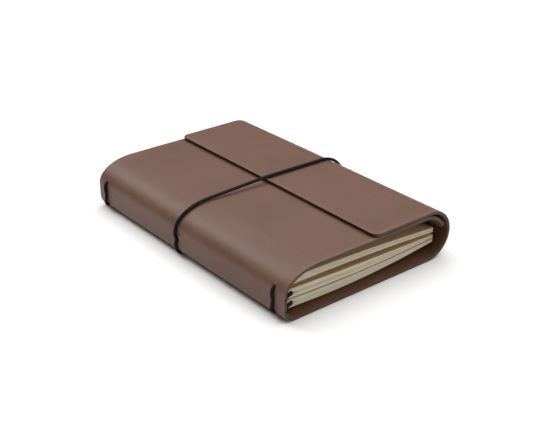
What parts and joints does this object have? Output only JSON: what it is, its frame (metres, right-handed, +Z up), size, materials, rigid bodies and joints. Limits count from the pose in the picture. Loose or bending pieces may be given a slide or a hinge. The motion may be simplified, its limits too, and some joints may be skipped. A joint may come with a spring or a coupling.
{
  "type": "notebook cover",
  "caption": "Wrap-around leather notebook cover with a flap, holding stitched booklets on an elastic binding and shut by an elastic loop",
  "frame": {"origin": "centre of the closed cover's footprint, on the table", "axes": "+X from the spine to the fore-edge, +Y along the spine from tail to head, +Z up"},
  "size_m": [0.1053, 0.15, 0.0275],
  "materials": {
    "leather": "smooth satin brown",
    "elastic": "matte braided",
    "card": "matte kraft",
    "paper": "matte cream",
    "steel": "bright wire"
  },
  "bodies": {
    "back": {"back_cover": "leather", "band_strand_top": "elastic", "band_strand_middle": "elastic", "band_strand_bottom": "elastic", "band_strand_return": "elastic", "band_knot": "elastic", "top_booklet_cover_back": "card", "top_booklet_pages_back": "paper", "top_booklet_staples": "steel", "middle_booklet_cover": "card", "middle_booklet_pages": "paper", "middle_booklet_staples": "steel", "bottom_booklet_cover": "card", "bottom_booklet_pages": "paper", "bottom_booklet_staples": "steel"},
    "spine": {"spine": "leather", "band_stitch_head": "elastic", "band_stitch_tail": "elastic", "closure_knot": "elastic"},
    "front": {"front_cover": "leather"},
    "fore_edge": {"fore_edge": "leather"},
    "flap": {"flap": "leather"},
    "closure": {"closure_elastic": "elastic"},
    "top_booklet_half": {"top_booklet_cover_front": "card", "top_booklet_pages_front": "paper"}
  },
  "joints": [
    {"name": "spine_fold", "type": "hinge", "parent": "back", "child": "spine", "pos_m": [-0.04924, 0, 0.00176], "axis": [0, -1, 0], "range_deg": [0, 78], "deforming": ["band_strand_top", "band_strand_middle", "band_strand_bottom", "band_strand_return"]},
    {"name": "front_cover_fold", "type": "hinge", "parent": "spine", "child": "front", "pos_m": [-0.04682, 0, 0.01982], "axis": [0, -1, 0], "range_deg": [0, 103.74]},
    {"name": "fore_edge_fold", "type": "hinge", "parent": "back", "child": "fore_edge", "pos_m": [0.04706, 0, 0.00394], "axis": [0, 1, 0], "range_deg": [0, 89.7], "deforming": ["fore_edge"]},
    {"name": "flap_fold", "type": "hinge", "parent": "fore_edge", "child": "flap", "pos_m": [0.04706, 0, 0.02196], "axis": [0, 1, 0], "range_deg": [0, 89.7], "deforming": ["flap"]},
    {"name": "closure_swing", "type": "hinge", "parent": "spine", "child": "closure", "pos_m": [-0.0522, 0.0045, 0.0089], "axis": [0, 0, 1], "range_deg": [0, 92.2], "deforming": ["closure_elastic"]},
    {"name": "top_booklet_open", "type": "hinge", "parent": "back", "child": "top_booklet_half", "pos_m": [-0.0468, 0, 0.0165], "axis": [0, -1, 0], "range_deg": [0, 183.3]}
  ],
  "couplings": [
    {"joint": "front_cover_fold", "follows": "spine_fold", "ratio": 1.33},
    {"joint": "fore_edge_fold", "follows": "spine_fold", "ratio": 1.15},
    {"joint": "flap_fold", "follows": "spine_fold", "ratio": 1.15},
    {"joint": "closure_swing", "follows": "spine_fold", "ratio": 1.182},
    {"joint": "top_booklet_open", "follows": "spine_fold", "ratio": 2.35}
  ]
}
